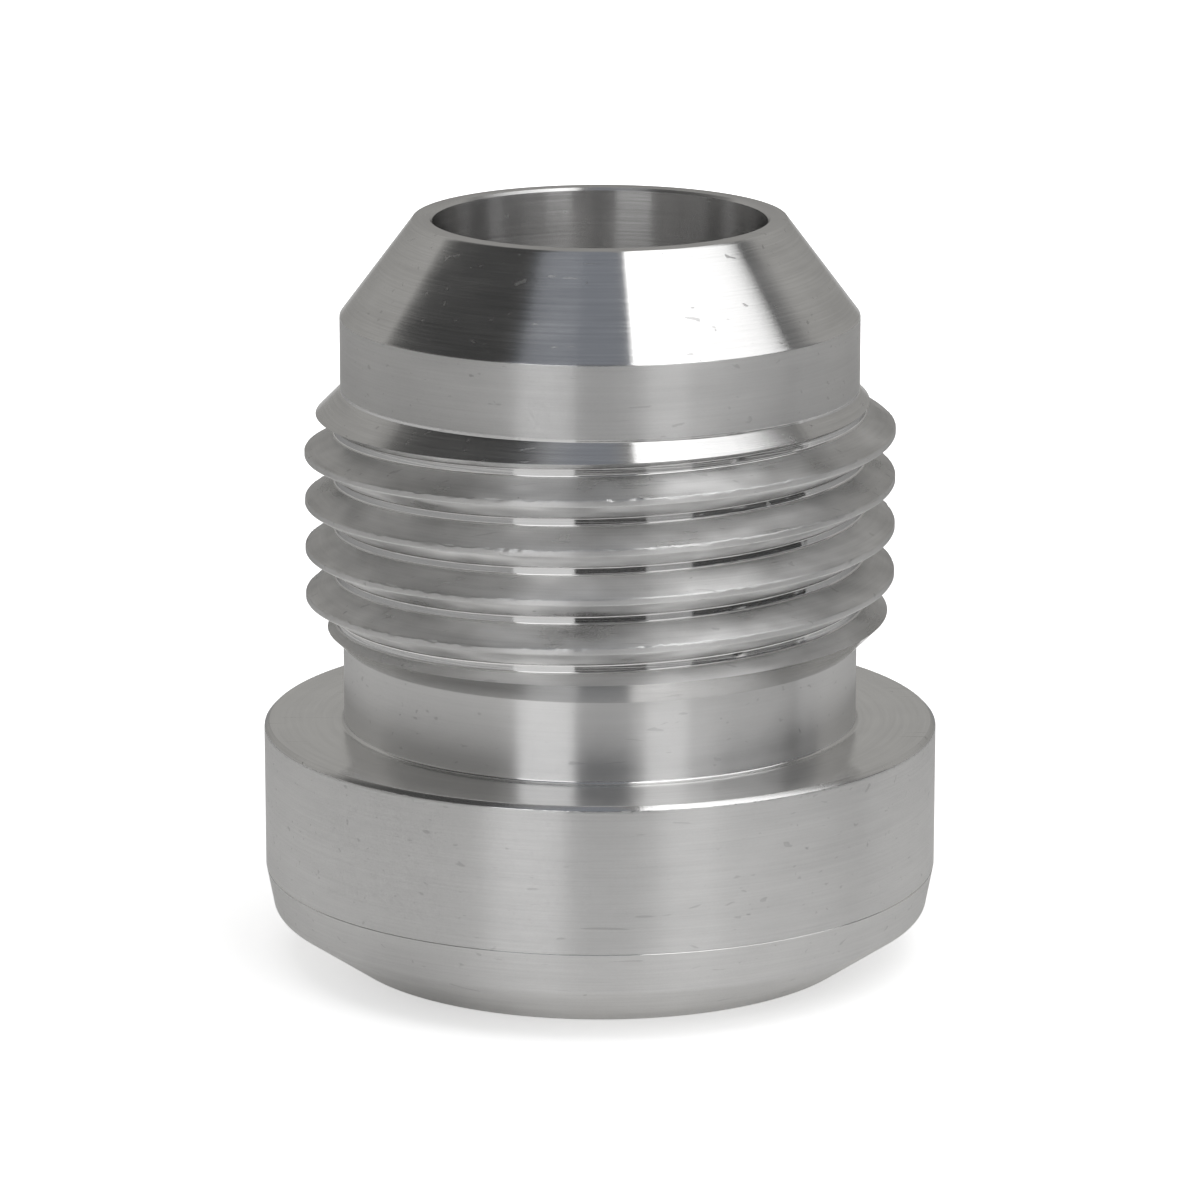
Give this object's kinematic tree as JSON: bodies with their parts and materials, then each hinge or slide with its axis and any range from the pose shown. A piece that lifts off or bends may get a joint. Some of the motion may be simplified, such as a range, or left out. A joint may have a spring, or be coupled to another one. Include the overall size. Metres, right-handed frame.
{
  "type": "weld-on fitting",
  "caption": "Turned aluminium male flare fitting: 37 degree seat cone, threaded barrel, relief neck and a plain weld flange with a bevelled foot, bored right through.",
  "frame": {"origin": "centre of the flat weld base, on the bore's axis", "axes": "+Z along the bore from the weld base to the flare seat; +X and +Y are fixed only by where the thread starts"},
  "size_m": [0.0254, 0.0254, 0.0281],
  "materials": {
    "turned_aluminium": "satin, fine lathe lines"
  },
  "bodies": {
    "root": {"fitting_body": "turned_aluminium"}
  },
  "joints": []
}
